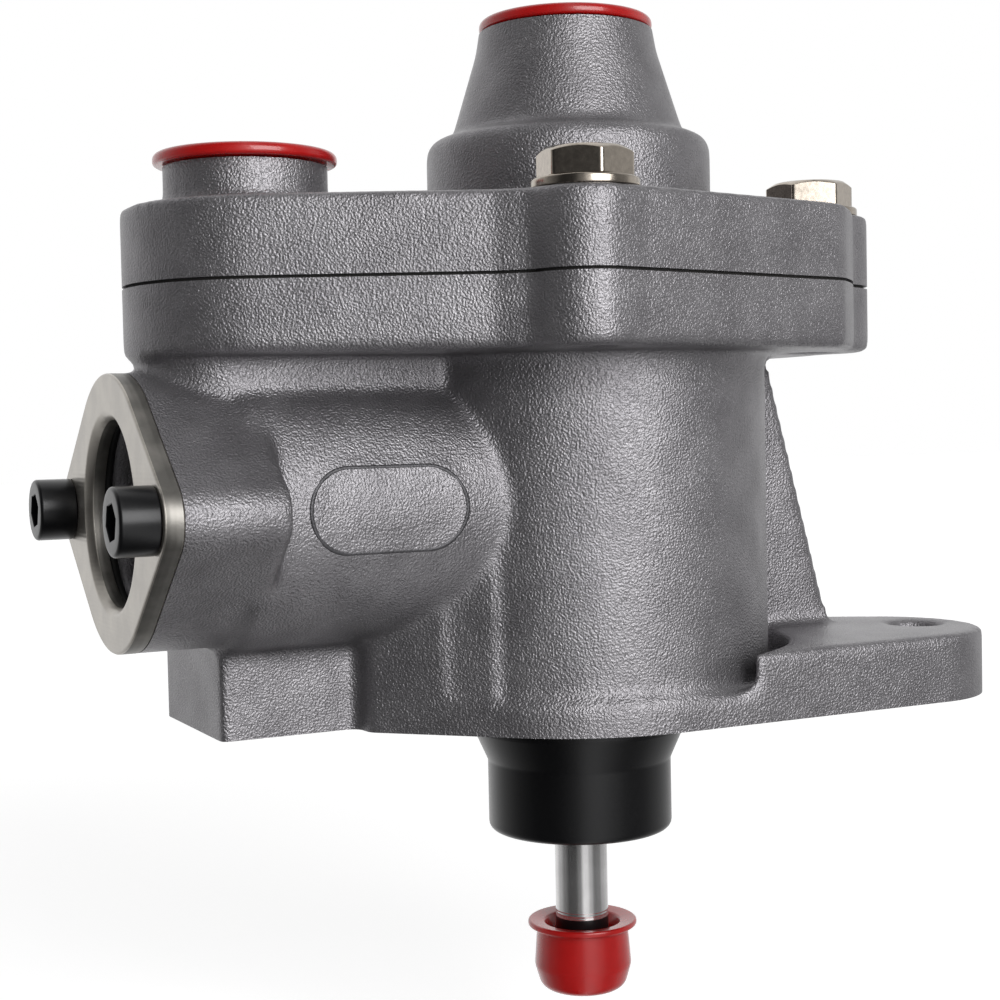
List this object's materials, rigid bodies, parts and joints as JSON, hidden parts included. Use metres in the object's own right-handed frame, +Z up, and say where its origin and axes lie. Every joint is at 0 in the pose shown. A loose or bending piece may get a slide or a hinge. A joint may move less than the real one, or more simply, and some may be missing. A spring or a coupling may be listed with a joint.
{
  "type": "fuel transfer pump",
  "caption": "Plunger pump for fuel: cast body with a horizontal boss, bolted cover with a conical port, mounting ear, guide sleeve, sprung push rod and plastic transport caps.",
  "frame": {"origin": "where the push rod axis meets the mounting face", "axes": "+Z up along the push rod towards the tower port, -X along the horizontal boss out of its socket, -Y to the side of the mounting ear"},
  "size_m": [0.1578, 0.096, 0.1677],
  "materials": {
    "cast_aluminium": "sand cast, shot blasted",
    "machined_aluminium": "machined",
    "gasket_board": "pressed fibre sheet",
    "plated_steel": "zinc plated",
    "blackened_steel": "black oxide, satin",
    "ground_steel": "ground and polished",
    "spring_steel": "drawn wire",
    "seal_rubber": "moulded rubber",
    "seal_plastic": "filled polymer",
    "valve_brass": "turned",
    "red_plastic": "moulded, glossy"
  },
  "bodies": {
    "housing": {"body_casting": "cast_aluminium", "cover_casting": "cast_aluminium", "cover_gasket": "gasket_board", "cover_bolts": "plated_steel", "bolt_washers": "plated_steel", "end_plate": "machined_aluminium", "plate_screws": "blackened_steel", "plate_o_ring": "seal_rubber", "guide_sleeve": "blackened_steel", "sleeve_o_ring": "seal_rubber", "rod_seals": "seal_rubber", "seal_retaining_ring": "plated_steel", "pumping_spring": "spring_steel", "spring_seat": "plated_steel", "inlet_valve_seat": "valve_brass", "inlet_valve_spring": "spring_steel", "inlet_valve_cage": "valve_brass", "outlet_valve_seat": "valve_brass", "outlet_valve_spring": "spring_steel", "outlet_valve_cage": "valve_brass", "cage_retaining_ring": "plated_steel"},
    "plunger": {"push_rod": "ground_steel", "rod_tip": "blackened_steel", "piston": "machined_aluminium", "piston_ring": "seal_plastic", "piston_valve_retainer": "plated_steel", "piston_valve_spring": "spring_steel"},
    "piston_disc": {"piston_valve_disc": "plated_steel"},
    "inlet_disc": {"inlet_valve_disc": "plated_steel"},
    "outlet_disc": {"outlet_valve_disc": "plated_steel"},
    "tower_cap": {"tower_cap": "red_plastic"},
    "side_cap": {"side_cap": "red_plastic"},
    "rod_cap": {"rod_cap": "red_plastic"}
  },
  "joints": [
    {"name": "plunger_slide", "type": "slide", "parent": "housing", "child": "plunger", "axis": [0, 0, 1], "range_m": [0, 0.006], "stiffness_N_per_m": 2000, "springref_m": -0.008, "deforming": ["pumping_spring"]},
    {"name": "piston_disc_slide", "type": "slide", "parent": "plunger", "child": "piston_disc", "axis": [0, 0, -1], "range_m": [0, 0.0015], "stiffness_N_per_m": 60, "springref_m": -0.004, "deforming": ["piston_valve_spring"]},
    {"name": "inlet_disc_slide", "type": "slide", "parent": "housing", "child": "inlet_disc", "axis": [0, 0, -1], "range_m": [0, 0.0015], "stiffness_N_per_m": 60, "springref_m": -0.004, "deforming": ["inlet_valve_spring"]},
    {"name": "outlet_disc_slide", "type": "slide", "parent": "housing", "child": "outlet_disc", "axis": [-1, 0, 0], "range_m": [0, 0.0015], "stiffness_N_per_m": 60, "springref_m": -0.004},
    {"name": "tower_cap_slide", "type": "slide", "parent": "housing", "child": "tower_cap", "axis": [0, 0, 1], "range_m": [0, 0.03]},
    {"name": "side_cap_slide", "type": "slide", "parent": "housing", "child": "side_cap", "axis": [0, 0, 1], "range_m": [0, 0.03]},
    {"name": "rod_cap_slide", "type": "slide", "parent": "plunger", "child": "rod_cap", "axis": [0, 0, -1], "range_m": [0, 0.02]}
  ]
}
